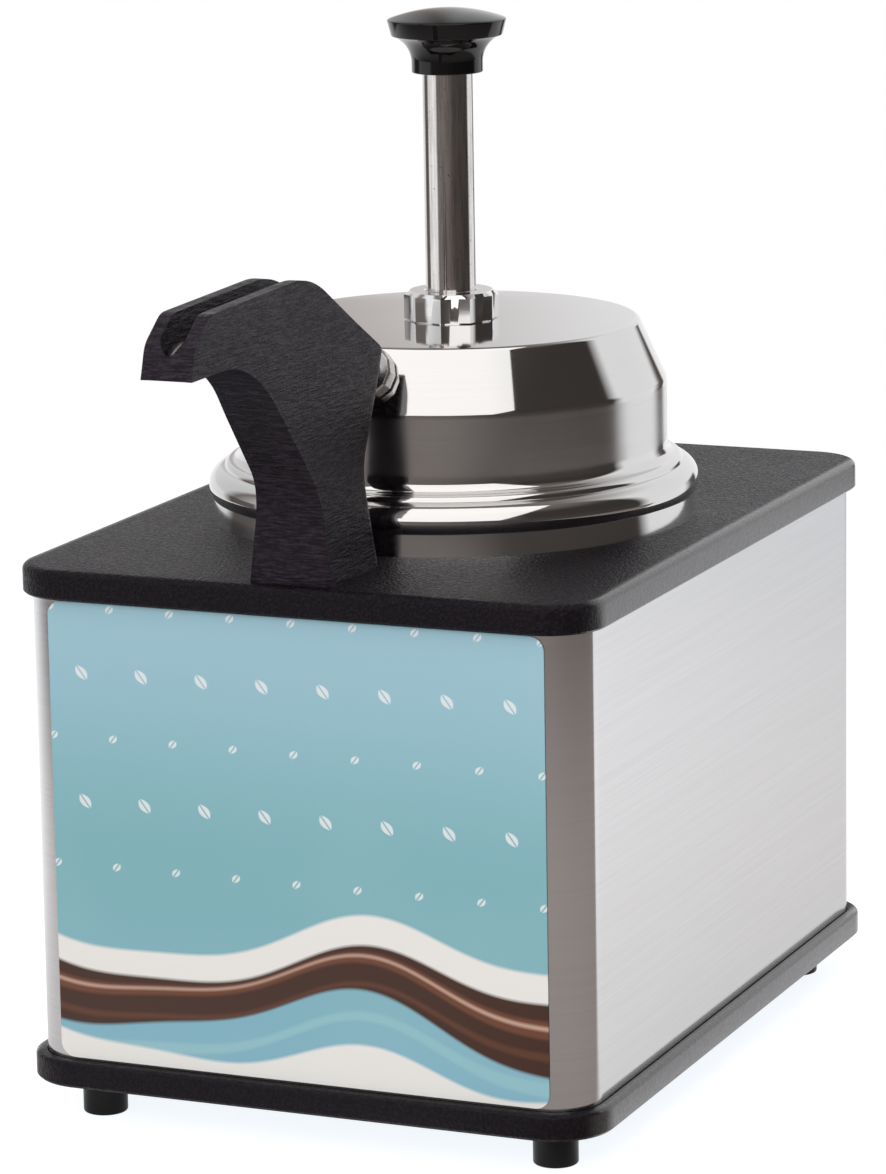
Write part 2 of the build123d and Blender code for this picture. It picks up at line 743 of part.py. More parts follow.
os.makedirs("parts", exist_ok=True)
to_origin = Pos(0, -(spout_tip_y + knob_end_y) / 2, 0)
for name, maker in makers.items():
    made = maker()
    if isinstance(made, list):
        shape = Compound(children=[to_origin * solid for solid in made])
    else:
        shape = to_origin * made
    shape.label = name
    export_step(shape, f"parts/{name}.step")
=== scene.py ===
import json
import math
import bmesh
import bpy
import numpy as np
from mathutils import Matrix, Vector


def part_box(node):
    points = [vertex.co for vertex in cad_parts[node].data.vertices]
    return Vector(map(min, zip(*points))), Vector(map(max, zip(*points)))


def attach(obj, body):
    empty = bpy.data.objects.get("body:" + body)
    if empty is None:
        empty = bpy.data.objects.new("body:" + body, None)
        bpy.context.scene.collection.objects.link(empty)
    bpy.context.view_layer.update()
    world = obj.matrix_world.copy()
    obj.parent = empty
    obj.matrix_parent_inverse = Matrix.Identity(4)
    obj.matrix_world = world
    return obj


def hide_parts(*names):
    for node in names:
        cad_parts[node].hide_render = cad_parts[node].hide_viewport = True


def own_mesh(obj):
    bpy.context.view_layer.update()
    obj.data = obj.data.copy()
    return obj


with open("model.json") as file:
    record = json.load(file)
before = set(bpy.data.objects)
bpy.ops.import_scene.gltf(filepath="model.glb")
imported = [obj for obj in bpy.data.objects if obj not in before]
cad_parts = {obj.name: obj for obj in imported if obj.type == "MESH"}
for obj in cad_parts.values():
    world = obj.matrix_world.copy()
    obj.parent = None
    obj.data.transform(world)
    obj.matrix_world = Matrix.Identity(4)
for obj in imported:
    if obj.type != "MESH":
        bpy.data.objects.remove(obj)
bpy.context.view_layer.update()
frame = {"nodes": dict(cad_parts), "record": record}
mm = 0.001
pole = 0.0004 * mm  # radius at an axis, small enough to be merged to one point


def boxOf(node):
    return [np.array(corner, float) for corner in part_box(node)]


def middleOf(node):
    low, high = boxOf(node)
    return (low + high) / 2


bodyLow, bodyHigh = boxOf("wrapper_shell")
coverLow, coverHigh = boxOf("top_cover")
lidLow, lidHigh = boxOf("lid_shell")
stemLow, stemHigh = boxOf("stem")
cabinetY = middleOf("wrapper_shell")[1]
pumpY = middleOf("stem")[1]
frontY = bodyLow[1]
backY = bodyHigh[1]


def roundedPath(points, radii, closed=False, steps=8):
    # straight runs joined by arcs: each corner is cut back by r*tan(turn/2) and filled with an arc of radius r
    points = np.asarray(points, float)
    count = len(points)
    found = []
    for i in range(count):
        here = points[i]
        r = radii[i]
        if r == 0 or (not closed and i in (0, count - 1)):
            found.append(here[None])
            continue
        back = points[i - 1] - here
        ahead = points[(i + 1) % count] - here
        back = back / np.linalg.norm(back)
        ahead = ahead / np.linalg.norm(ahead)
        half = math.acos(np.clip(back @ ahead, -1, 1)) / 2
        middle = here + (back + ahead) / np.linalg.norm(back + ahead) * r / math.sin(half)
        start = here + back * r / math.tan(half) - middle
        end = here + ahead * r / math.tan(half) - middle
        sweep = math.pi - 2 * half
        t = np.linspace(0, 1, steps + 1)[:, None]
        arc = (np.sin((1 - t) * sweep) * start + np.sin(t * sweep) * end) / math.sin(sweep)
        found.append(middle + arc)
    return np.concatenate(found)


def gridMesh(name, points, wrapRows=False, wrapColumns=False, sharp=35, caps=()):
    # a net of quads over a grid of points, closed round either way if asked
    rows, columns = points.shape[:2]
    i = np.arange(rows if wrapRows else rows - 1)
    j = np.arange(columns if wrapColumns else columns - 1)
    a, b = np.meshgrid(i, j, indexing="ij")
    a2 = (a + 1) % rows
    b2 = (b + 1) % columns
    quads = np.stack([a * columns + b, a * columns + b2, a2 * columns + b2, a2 * columns + b], -1).reshape(-1, 4)
    mesh = bpy.data.meshes.new(name)
    mesh.from_pydata(points.reshape(-1, 3).tolist(), [], quads.tolist() + list(caps))
    mesh.update()
    piece = bpy.data.objects.new(name, mesh)
    bpy.context.collection.objects.link(piece)
    tidy(piece, sharp)
    return piece


def tidy(piece, sharp=35, recalc=True):
    # doubles merged, faces turned outwards, shaded smooth but for the sharp edges
    work = bmesh.new()
    work.from_mesh(piece.data)
    bmesh.ops.remove_doubles(work, verts=work.verts, dist=2e-6)
    bmesh.ops.dissolve_degenerate(work, edges=work.edges, dist=1e-7)
    if recalc:
        bmesh.ops.recalc_face_normals(work, faces=work.faces)
    work.to_mesh(piece.data)
    work.free()
    mesh = piece.data
    mesh.polygons.foreach_set("use_smooth", np.ones(len(mesh.polygons), bool))
    mesh.set_sharp_from_angle(angle=math.radians(sharp))
    mesh.update()


def turned(name, profile, centre, around=192, sharp=35):
    # profile of (radius, height) carried round the upright axis: x = r cos a, y = r sin a
    profile = np.asarray(profile, float)
    angle = np.linspace(0, 2 * math.pi, around, endpoint=False)
    radius = profile[:, 0][:, None]
    height = np.broadcast_to(profile[:, 1][:, None], (len(profile), around))
    points = np.stack([centre[0] + radius * np.cos(angle), centre[1] + radius * np.sin(angle), height], -1)
    return gridMesh(name, points, wrapRows=True, wrapColumns=True, sharp=sharp)


def roundedLoop(width, depth, radius, steps=12):
    # plan of a rounded rectangle, run once round from the middle of the front side
    w, d = width / 2, depth / 2
    corners = [(0, -d), (w, -d), (w, d), (-w, d), (-w, -d)]
    return roundedPath(corners, [0] + [radius] * 4, closed=True, steps=steps)


def facetedRing(name, sides, apothem, profile, centre, turn, hollow=0.0, perSide=10):
    # many-sided collar: a side's distance is apothem/cos(a) less hollow*(1-(2a/step)^2), cut to the profile's radius
    step = 2 * math.pi / sides
    offset = np.linspace(-0.5, 0.5, perSide + 1)[:-1] * step
    angle = (np.arange(sides)[:, None] * step + offset[None]).ravel()
    flat = np.tile(apothem / np.cos(offset) - hollow * (1 - (2 * offset / step)**2), sides)
    rows = []
    for radius, height in profile:
        r = np.minimum(flat, radius)
        rows.append(np.stack([r * np.cos(angle + turn), r * np.sin(angle + turn), np.full(len(r), height)], -1))
    return gridMesh(name, np.array(rows) + np.array([*centre, 0]), wrapRows=True, wrapColumns=True, sharp=24)


def dressed(node, name, bevel=0.0, sharp=32):
    # smooth-shaded copy of a solid, with its hard edges broken by a small bevel
    piece = frame["nodes"][node].copy()
    piece.data = frame["nodes"][node].data.copy()
    piece.name = name
    piece.data.name = name
    piece.data.materials.clear()
    bpy.context.collection.objects.link(piece)
    if piece.data.has_custom_normals:
        bpy.context.view_layer.objects.active = piece
        piece.data.normals_split_custom_set([(0, 0, 0)] * len(piece.data.loops))
    tidy(piece, sharp, recalc=False)
    if bevel:
        edge = piece.modifiers.new("edge", "BEVEL")
        edge.width = bevel
        edge.segments = 2
        edge.limit_method = "ANGLE"
        edge.angle_limit = math.radians(sharp)
        edge.harden_normals = True
        edge.use_clamp_overlap = True
    return piece


class Wire:  # a socket that can be added, multiplied and compared
    def __init__(self, finish, socket):
        self.finish = finish
        self.socket = socket

    def maths(self, operation, a, b=0.0, c=0.0):
        node = self.finish.node("ShaderNodeMath", {"operation": operation}, {0: a, 1: b, 2: c})
        return Wire(self.finish, node.outputs[0])

    def __add__(self, other):
        return self.maths("ADD", self, other)

    def __sub__(self, other):
        return self.maths("SUBTRACT", self, other)

    def __rsub__(self, other):
        return self.maths("SUBTRACT", other, self)

    def __mul__(self, other):
        return self.maths("MULTIPLY", self, other)

    def __truediv__(self, other):
        return self.maths("DIVIDE", self, other)

    def __gt__(self, other):
        return self.maths("GREATER_THAN", self, other)

    __radd__ = __add__
    __rmul__ = __mul__

    def low(self, other):
        return self.maths("MINIMUM", self, other)

    def high(self, other):
        return self.maths("MAXIMUM", self, other)

    def absolute(self):
        return self.maths("ABSOLUTE", self)

    def sine(self):
        return self.maths("SINE", self)

    def smooth(self, low, high):
        settings = {"interpolation_type": "SMOOTHSTEP"}
        node = self.finish.node("ShaderNodeMapRange", settings, {0: self, 1: low, 2: high, 3: 0.0, 4: 1.0})
        return Wire(self.finish, node.outputs[0])


class Tree:  # one material's or world's nodes
    def __init__(self, tree):
        self.tree = tree

    def node(self, kind, settings, values):
        made = self.tree.nodes.new(kind)
        for key, value in settings.items():
            setattr(made, key, value)
        for key, value in values.items():
            self.feed(made.inputs[key], value)
        return made

    def feed(self, socket, value):
        if isinstance(value, Wire):
            value = value.socket
        if isinstance(value, bpy.types.NodeSocket):
            self.tree.links.new(value, socket)
        else:
            socket.default_value = value

    def axes(self, place):
        return [Wire(self, part) for part in self.node("ShaderNodeSeparateXYZ", {}, {0: place}).outputs]

    def mix(self, factor, a, b):
        made = self.node("ShaderNodeMix", {"data_type": "RGBA"}, {})
        self.feed(made.inputs[0], factor)
        self.feed(made.inputs[6], a)
        self.feed(made.inputs[7], b)
        return made.outputs[2]

    def ramp(self, factor, stops):
        made = self.tree.nodes.new("ShaderNodeValToRGB")
        marks = made.color_ramp.elements
        while len(marks) < len(stops):
            marks.new(1.0)
        for mark, (at, colour) in zip(marks, stops):
            mark.position, mark.color = at, colour
        self.feed(made.inputs[0], factor)
        return made.outputs[0]


class Finish(Tree):  # a material on object coordinates
    def __init__(self, name, **constants):
        self.material = bpy.data.materials.new(name)
        self.material.use_nodes = True
        super().__init__(self.material.node_tree)
        self.shader = self.tree.nodes["Principled BSDF"]
        for socket, value in constants.items():
            self.shader.inputs[socket.replace("_", " ")].default_value = value
        self.place = self.node("ShaderNodeTexCoord", {}, {}).outputs["Object"]

    def stretched(self, scale):
        return self.node("ShaderNodeMapping", {}, {0: self.place, 3: scale}).outputs[0]

    def noise(self, scale, detail=3.0, rough=0.5, stretch=(1, 1, 1)):
        made = self.node("ShaderNodeTexNoise", {}, {"Vector": self.stretched(stretch), "Scale": scale,
                                                   "Detail": detail, "Roughness": rough})
        return Wire(self, made.outputs[0])

    def set(self, **links):
        for socket, value in links.items():
            self.feed(self.shader.inputs[socket.replace("_", " ")], value)
        return self

    def bump(self, height, strength, distance):
        made = self.node("ShaderNodeBump", {}, {"Height": height, "Strength": strength, "Distance": distance})
        return self.set(Normal=made.outputs[0])


def rgb(r, g, b):
    return (r, g, b, 1.0)


powder = {"sheen": rgb(1.0, 0.92, 1.0), "coatRoughness": 0.22, "coatIor": 1.6, "ripples": (150.0, 150.0, 1100.0),
          "shade": (0.40, 0.68), "cloudShare": 0.2, "cloudRough": 0.16, "grainRough": 0.5}


def powderCoat(name, dark, light, grain, ripple, roughness=0.5, depth=0.0009, worn=None, gloss=0.19):
    # baked powder paint: fine pebbles, level ripples drawn out sideways, slow cloudiness; hands polish its two sides
    finish = Finish(name, Metallic=0.0, Specular_IOR_Level=gloss, Specular_Tint=powder["sheen"],
                    Coat_Roughness=powder["coatRoughness"], Coat_IOR=powder["coatIor"])
    pebble = finish.noise(grain, 2.0, 0.6)
    wave = finish.noise(1.0, 3.0, 0.65, stretch=powder["ripples"])
    cloud = finish.noise(11.0, 3.0, 0.5)
    grained = pebble * (1 - ripple) + wave * ripple
    shade = grained.smooth(*powder["shade"]) * (1 - powder["cloudShare"]) + cloud * powder["cloudShare"]
    rough = roughness + (cloud - 0.5) * powder["cloudRough"] - (grained - 0.5) * powder["grainRough"]
    finish.set(Base_Color=finish.mix(shade, dark, light), Roughness=rough)
    if worn:
        x, y, z = finish.axes(finish.place)
        finish.set(Coat_Weight=x.absolute().smooth(*worn))
    return finish.bump(grained, 1.0, depth).material


def brushedSteel(name, tint, roughness, stroke, strength=0.04, stretch=(3.0, 3.0, 1100.0)):
    # fine level strokes left by the belt: noise drawn out sideways, with slow bands
    finish = Finish(name, Metallic=1.0, Anisotropic=0.3, Anisotropic_Rotation=0.25)
    fine = finish.noise(1.0, 4.0, 0.7, stretch=stretch)
    short = finish.noise(1.0, 2.0, 0.6, stretch=(14.0, 14.0, 800.0))
    slow = finish.noise(2.2, 2.0, 0.5)
    stroked = (fine * 0.6 + short * 0.4).smooth(0.3, 0.7)
    dark = rgb(*(c * (1 - stroke) for c in tint))
    finish.set(Base_Color=finish.mix(stroked * 0.8 + slow * 0.2, dark, rgb(*tint)),
               Roughness=roughness + (stroked - 0.5) * 0.04 + (slow - 0.5) * 0.04)
    return finish.bump(fine * 0.5 + short * 0.5, strength, 0.00005).material


def polishedSteel(name, tint, roughness, spun=0.5, streak=0.04, band=None, pits=0.0, drawn=0.0):
    # polished sheet: spun or drawn marks round the upright axis, hair scratches, finger haze and, on a band, satin
    finish = Finish(name, Metallic=1.0, Anisotropic=spun, Anisotropic_Rotation=0.25)
    haze = finish.noise(26.0, 4.0, 0.6)
    rings = finish.noise(1.0, 3.0, 0.6, stretch=(6.0, 6.0, 900.0))
    hair = finish.noise(1.0, 3.0, 0.7, stretch=(700.0, 700.0, 40.0))
    dark = rgb(*(c * (1 - streak) for c in tint))
    colour = finish.mix((rings * 0.7 + haze * 0.3) * (1 - drawn) + hair.smooth(0.3, 0.62) * drawn, dark, rgb(*tint))
    rough = roughness + (haze - 0.46).high(0.0) * 0.10 + (rings - 0.5) * 0.04 + (hair - 0.5).high(0.0) * 0.03
    if band:
        skirt, low, high, satin = band
        x, y, z = finish.axes(finish.place)
        within = z.smooth(low - 0.001, low + 0.001) * (1 - z.smooth(high - 0.0006, high + 0.0012))
        within = within + (1 - z.smooth(skirt - 0.0015, skirt + 0.0015)) * 0.25
        strokes = finish.noise(1.0, 4.0, 0.7, stretch=(9.0, 9.0, 1600.0))
        rough = rough + within * (satin - roughness + (strokes - 0.5) * 0.10)
        colour = finish.mix(within * strokes.smooth(0.35, 0.7) * 0.25, colour, dark)
    if pits:
        specks = finish.noise(1.0, 1.0, 0.5, stretch=(900.0, 900.0, 700.0)).smooth(0.70, 0.76)
        colour = finish.mix(specks * pits, colour, rgb(0.14, 0.12, 0.11))
    finish.set(Base_Color=colour, Roughness=rough)
    wave = finish.noise(14.0, 1.0, 0.4)
    return finish.bump(wave + rings * 0.04, 0.06, 0.0006).material


def satinSteel(name, tint, roughness=0.28):
    # drawn steel: concentric drawing marks round the upright axis
    finish = Finish(name, Metallic=1.0)
    rings = finish.noise(1.0, 3.0, 0.6, stretch=(40.0, 40.0, 900.0))
    haze = finish.noise(12.0, 3.0, 0.5)
    finish.set(Base_Color=finish.mix(haze, rgb(*(c * 0.9 for c in tint)), rgb(*tint)),
               Roughness=roughness + (rings - 0.5) * 0.14)
    return finish.bump(rings, 0.12, 0.0001).material


def mouldedBlack(name, tint, roughness, grain, coat=0.0):
    # moulded plastic: fine spark-eroded grain and slight gloss changes
    finish = Finish(name, Metallic=0.0, Specular_IOR_Level=0.25, Coat_Roughness=0.05, Coat_Weight=coat)
    fine = finish.noise(grain, 2.0, 0.5)
    slow = finish.noise(30.0, 2.0, 0.5)
    finish.set(Base_Color=finish.mix(slow, rgb(*(c * 0.8 for c in tint)), rgb(*tint)),
               Roughness=roughness + (slow - 0.5) * 0.06)
    return finish.bump(fine, 0.10 if coat else 0.3, 0.00012).material


def rubber(name):
    finish = Finish(name, Metallic=0.0, Specular_IOR_Level=0.4)
    fine = finish.noise(900.0, 2.0, 0.6)
    dust = finish.noise(40.0, 3.0, 0.6)
    finish.set(Base_Color=finish.mix(dust, rgb(0.012, 0.012, 0.012), rgb(0.03, 0.03, 0.03)),
               Roughness=0.42 + (dust - 0.5) * 0.2)
    return finish.bump(fine, 0.2, 0.0001).material


def acetal(name):
    finish = Finish(name, Metallic=0.0)
    turnedLines = finish.noise(1.0, 2.0, 0.5, stretch=(20.0, 20.0, 2500.0))
    slow = finish.noise(18.0, 2.0, 0.5)
    finish.set(Base_Color=finish.mix(slow, rgb(0.80, 0.80, 0.77), rgb(0.88, 0.88, 0.85)),
               Roughness=0.38 + (turnedLines - 0.5) * 0.15)
    return finish.bump(turnedLines, 0.15, 0.0001).material


def quiltedFibre(name):
    finish = Finish(name, Metallic=0.0, Sheen_Weight=0.3)
    fibre = finish.noise(220.0, 5.0, 0.7, stretch=(1.0, 1.0, 0.4))
    tuft = finish.noise(25.0, 3.0, 0.5)
    finish.set(Base_Color=finish.mix(fibre, rgb(0.55, 0.47, 0.30), rgb(0.86, 0.80, 0.62)), Roughness=0.9)
    return finish.bump(fibre * 0.6 + tuft, 0.6, 0.002).material


def metalSkin(name, dark, light, roughness, scale=60.0):
    finish = Finish(name, Metallic=1.0)
    spots = finish.noise(scale, 4.0, 0.6)
    finish.set(Base_Color=finish.mix(spots, rgb(*dark), rgb(*light)), Roughness=roughness + (spots - 0.5) * 0.2)
    return finish.bump(spots, 0.1, 0.0002).material


film = {"halfWidth": 97 * mm, "low": 26.5 * mm, "high": 198.5 * mm, "corner": 5.5 * mm, "thick": 0.4 * mm,
        "middle": rgb(0.225, 0.475, 0.53), "top": rgb(0.345, 0.575, 0.675), "foot": rgb(0.235, 0.485, 0.60),
        "shimmer": rgb(0.50, 0.69, 0.76), "cream": rgb(0.86, 0.86, 0.83), "cocoa": rgb(0.050, 0.017, 0.008),
        "leaf": rgb(0.84, 0.88, 0.89), "leafTile": 24 * mm, "leafFrom": -0.22, "leafTilt": 0.75}


def printedFilm(name):
    # pale blue sheet, cooler at the top and greener at the middle, with cream and cocoa ribbons and small leaves
    finish = Finish(name, Metallic=0.0, Specular_IOR_Level=0.5, Coat_Weight=0.25, Coat_Roughness=0.12)
    x, y, z = finish.axes(finish.place)
    middle = (film["low"] + film["high"]) / 2
    u = x / film["halfWidth"]
    v = (z - middle) / ((film["high"] - film["low"]) / 2)
    ground = finish.mix(v.smooth(-0.1, 1.0), film["middle"], film["top"])
    ground = finish.mix((0 - v).smooth(0.2, 1.0), ground, film["foot"])
    shimmer = finish.noise(7.0, 2.0, 0.5)
    ground = finish.mix((shimmer - 0.5).high(0.0) * 0.5, ground, film["shimmer"])
    wave = (u * 3.4 + 0.7).sine() * 0.12 + (u * 7.1 - 0.4).sine() * 0.03
    colour = ground
    cream, cocoa = film["cream"], film["cocoa"]
    # bands of paint: height of the middle, half width, colour; the last ones are streaks on the cocoa band
    bands = [(-0.50, 0.125, cream), (-0.62, 0.125, cocoa), (-0.575, 0.030, rgb(0.150, 0.052, 0.025)),
             (-0.568, 0.006, rgb(0.62, 0.42, 0.33)), (-0.69, 0.014, rgb(0.105, 0.036, 0.018)),
             (-0.83, 0.028, rgb(0.30, 0.56, 0.63)), (-1.12, 0.25, cream)]
    for level, half, paint in bands:
        swell = half * (1.0 + (u * 2.1 + level * 2.0).sine() * 0.35)
        edge = ((v - wave - level).absolute() - swell) * 60.0
        colour = finish.mix((0.5 - edge).high(0.0).low(1.0), colour, paint)
    tile = film["leafTile"]
    across = x / tile
    upwards = (z - middle) / tile
    row = upwards.maths("FLOOR", upwards)
    odd = row.absolute().maths("MODULO", row.absolute(), 2.0)
    column = across + odd * 0.5
    gx = column.maths("FRACT", column) - 0.5
    gz = upwards.maths("FRACT", upwards) - 0.5
    tilt = film["leafTilt"] - odd * (2 * film["leafTilt"])
    along = gz - gx * tilt * 0.6
    aside = gx + gz * tilt
    leaf = aside.absolute() * 2.1 + along * along * (9.0 + odd * 9.0) - (0.21 - odd * 0.06)
    vein = (aside.absolute() * 60.0 - 0.4).low(1.0).high(0.0)
    leaf = (0.5 - leaf * 30.0).high(0.0).low(1.0) * (v > film["leafFrom"]) * vein
    colour = finish.mix(leaf * 0.85, colour, film["leaf"])
    finish.set(Base_Color=colour, Roughness=0.34 + (shimmer - 0.5) * 0.1)
    peel = finish.noise(260.0, 2.0, 0.5)
    return finish.bump(peel, 0.12, 0.0001).material


finishes = {
    "cover": powderCoat("black cover coat", rgb(0.0025, 0.0019, 0.0028), rgb(0.0115, 0.0088, 0.0130), 850.0, 0.1,
                        0.40, worn=(0.1085, 0.1128), gloss=0.15),
    "tray": powderCoat("black tray coat", rgb(0.0025, 0.0019, 0.0028), rgb(0.010, 0.0076, 0.0112), 850.0, 0.1, 0.40,
                       0.0006, worn=(0.1085, 0.1128)),
    "spout": powderCoat("black spout coat", rgb(0.003, 0.0022, 0.0034), rgb(0.034, 0.026, 0.038), 900.0, 0.8, 0.42),
    "wrap": brushedSteel("brushed cabinet steel", (0.625, 0.62, 0.62), 0.12, 0.09),
    "lid": polishedSteel("polished lid steel", (0.64, 0.63, 0.62), 0.055, 0.5, 0.08, (0.2185, 0.2375, 0.2590, 0.20)),
    "stem": polishedSteel("polished stem steel", (0.75, 0.725, 0.71), 0.10, 0.3, 0.38, pits=0.6, drawn=0.75),
    "nut": polishedSteel("polished collar steel", (0.76, 0.755, 0.75), 0.04, 0.0, 0.05),
    "satin": satinSteel("satin drawn steel", (0.60, 0.59, 0.585)),
    "plated": metalSkin("zinc plate", (0.50, 0.51, 0.53), (0.68, 0.69, 0.71), 0.32),
    "sheath": metalSkin("heater sheath", (0.10, 0.085, 0.07), (0.26, 0.23, 0.20), 0.5),
    "copper": metalSkin("copper tube", (0.50, 0.22, 0.12), (0.72, 0.40, 0.26), 0.3),
    "wire": metalSkin("spring wire", (0.42, 0.42, 0.43), (0.6, 0.6, 0.61), 0.28),
    "knob": mouldedBlack("glossy black phenolic", (0.004, 0.0036, 0.004), 0.10, 500.0, coat=0.2),
    "foot": mouldedBlack("glossy black foot", (0.005, 0.0046, 0.005), 0.25, 700.0, coat=0.05),
    "plastic": mouldedBlack("matt black moulding", (0.018, 0.018, 0.019), 0.42, 1400.0),
    "plate": mouldedBlack("black dial plate", (0.016, 0.016, 0.017), 0.36, 900.0),
    "rubber": rubber("black rubber"),
    "acetal": acetal("white acetal"),
    "fibre": quiltedFibre("glass fibre blanket"),
    "film": printedFilm("printed front film"),
    "white": mouldedBlack("white print", (0.85, 0.85, 0.85), 0.5, 900.0),
}
print("finishes made:", len(finishes))


def place(piece, body, slot, finish, *nodes):
    piece.data.materials.clear()
    piece.data.materials.append(finishes[finish])
    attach(piece, body)
    if nodes:
        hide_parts(*nodes)
    return piece


def flatMark(name, corners, y, thick=0.05 * mm):
    # flat piece: corners in the plane of the back, given a thickness
    corners = np.asarray(corners, float)
    front = np.column_stack([corners[:, 0], np.full(len(corners), y), corners[:, 1]])
    back = front + [0, thick, 0]
    count = len(corners)
    sides = [[i, (i + 1) % count, count + (i + 1) % count, count + i] for i in range(count)]
    faces = sides + [list(range(count))[::-1], list(range(count, 2 * count))]
    mesh = bpy.data.meshes.new(name)
    mesh.from_pydata(np.concatenate([front, back]).tolist(), [], faces)
    piece = bpy.data.objects.new(name, mesh)
    bpy.context.collection.objects.link(piece)
    tidy(piece, 30)
    return piece


wrap = {"sheet": 0.9 * mm, "corner": 18 * mm, "slit": 0.7 * mm, "hem": 0.35 * mm, "switch": (9.6 * mm, 13.6 * mm),
        "spindle": 5 * mm, "gland": 8 * mm, "past": 4 * mm}


def punch(node, halfWide, halfTall, bar=False):
    # upright block or round bar through the back sheet, centred on a rear fitting
    middle = middleOf(node)
    around = np.linspace(0, 2 * math.pi, 48, endpoint=False)
    outline = np.stack([halfWide * np.cos(around), halfTall * np.sin(around)], -1)
    if not bar:
        outline = np.array([(-halfWide, -halfTall), (halfWide, -halfTall), (halfWide, halfTall), (-halfWide, halfTall)])
    return flatMark("punch", outline + middle[[0, 2]], backY - wrap["past"], 2 * wrap["past"])


def opened(piece, cutters):
    # the cutters are taken out of the piece
    for cutter in cutters:
        cut = piece.modifiers.new("cut", "BOOLEAN")
        cut.operation = "DIFFERENCE"
        cut.solver = "EXACT"
        cut.object = cutter
    graph = bpy.context.evaluated_depsgraph_get()
    mesh = bpy.data.meshes.new_from_object(piece.evaluated_get(graph))
    mesh.name = piece.name
    piece.modifiers.clear()
    piece.data = mesh
    for cutter in cutters:
        bpy.data.objects.remove(cutter)
    tidy(piece, 35, recalc=False)
    even = piece.modifiers.new("even", "WEIGHTED_NORMAL")
    even.keep_sharp = True
    return piece


def makeWrapper():
    # sheet wound once round the cabinet, from one side of the front joint to the other
    size = bodyHigh - bodyLow
    low, high = bodyLow[2], bodyHigh[2]
    hem = wrap["hem"]
    t = wrap["sheet"]
    profile = [(0, low + hem), (0, high - hem), (-hem, high), (-t + hem, high), (-t, high - hem), (-t, low + hem),
               (-t + hem, low), (-hem, low)]
    rows = []
    for out, height in profile:
        loop = roundedLoop(size[0] + 2 * out, size[1] + 2 * out, wrap["corner"] + out, 24)
        ends = [[wrap["slit"] / 2, loop[0][1]], [-wrap["slit"] / 2, loop[0][1]]]
        loop = np.concatenate([ends[:1], loop[1:], ends[1:]])
        rows.append(np.column_stack([loop[:, 0], loop[:, 1] + cabinetY, np.full(len(loop), height)]))
    rows = np.array(rows)
    columns = rows.shape[1]
    mouth = [[i * columns for i in range(len(rows))], [(i + 1) * columns - 1 for i in range(len(rows))][::-1]]
    piece = gridMesh("wrapperSheet", rows, wrapRows=True, caps=mouth)
    opened(piece, [punch("switch_frame", *wrap["switch"]), punch("dial_plate", wrap["spindle"], wrap["spindle"], True),
                   punch("cord_gland", wrap["gland"], wrap["gland"], True)])
    return place(piece, "cabinet", "brushed_steel", "wrap", "wrapper_shell")


cover = {"corner": 21.6 * mm, "edge": 2.6 * mm, "foot": 0.8 * mm, "skin": 3.5 * mm, "skirt": 3 * mm,
         "hole": 82.6 * mm, "collarWall": 2.6 * mm, "collarLow": 2 * mm}


def makeCover():
    # outer skirt and rounded top edge carried round the cabinet, run in to the round hole over the vessel
    width, depth = (coverHigh - coverLow)[:2]
    low, high = coverLow[2], coverHigh[2]
    edge, foot, skin = cover["edge"], cover["foot"], cover["skin"]
    bend = np.linspace(0, math.pi / 2, 8)
    profile = [(-cover["skirt"], high - skin), (-cover["skirt"], low + 0.3 * mm), (-cover["skirt"] + 0.3 * mm, low),
               (-foot, low), (0, low + foot)]
    profile += [(-edge + edge * math.cos(a), high - edge + edge * math.sin(a)) for a in bend]
    rows = []
    for out, height in profile:
        loop = roundedLoop(width + 2 * out, depth + 2 * out, cover["corner"] + out, 16)
        rows.append(np.column_stack([loop[:, 0], loop[:, 1] + cabinetY, np.full(len(loop), height)]))
    rim = rows[-1]
    angle = np.arctan2(rim[:, 1] - pumpY, rim[:, 0])
    hole = cover["hole"]
    for share in np.linspace(0, 1, 6)[1:]:
        ring = np.stack([np.cos(angle), np.sin(angle)], -1) * hole + [0, pumpY]
        flat = rim[:, :2] * (1 - share) + ring * share
        rows.append(np.column_stack([flat, np.full(len(rim), high)]))
    steps = [(hole, low + cover["collarLow"]), (hole + cover["collarWall"], low + cover["collarLow"]),
             (hole + cover["collarWall"], high - skin)]
    for radius, height in steps:
        ring = np.stack([np.cos(angle), np.sin(angle)], -1) * radius + [0, pumpY]
        rows.append(np.column_stack([ring, np.full(len(rim), height)]))
    piece = gridMesh("coverPlate", np.array(rows), wrapRows=True, wrapColumns=True)
    return place(piece, "cabinet", "black_enamel", "cover", "top_cover")


def makeFilm():
    # thin rounded sheet with a soft cut edge, in a fine grid
    w = film["halfWidth"]
    tall = film["high"] - film["low"]
    middle = (film["low"] + film["high"]) / 2
    loop = roundedPath([(-w, -tall / 2), (w, -tall / 2), (w, tall / 2), (-w, tall / 2)], [film["corner"]] * 4,
                       closed=True, steps=10)
    depthOf = [(1.0, 0.02 * mm), (1.0, 0.3 * mm), (0.9995, film["thick"]), (0.66, film["thick"]),
               (0.33, film["thick"]), (0.0, film["thick"])]
    rows = []
    for share, out in depthOf:
        rows.append(np.column_stack([loop[:, 0] * share, np.full(len(loop), frontY - out),
                                     loop[:, 1] * share + middle]))
    back = np.column_stack([loop[:, 0] * 0, np.full(len(loop), frontY - 0.02 * mm), loop[:, 1] * 0 + middle])
    rows.insert(0, back)
    piece = gridMesh("frontFilm", np.array(rows), wrapColumns=True, sharp=50)
    return place(piece, "cabinet", "printed_film", "film", "front_graphic")


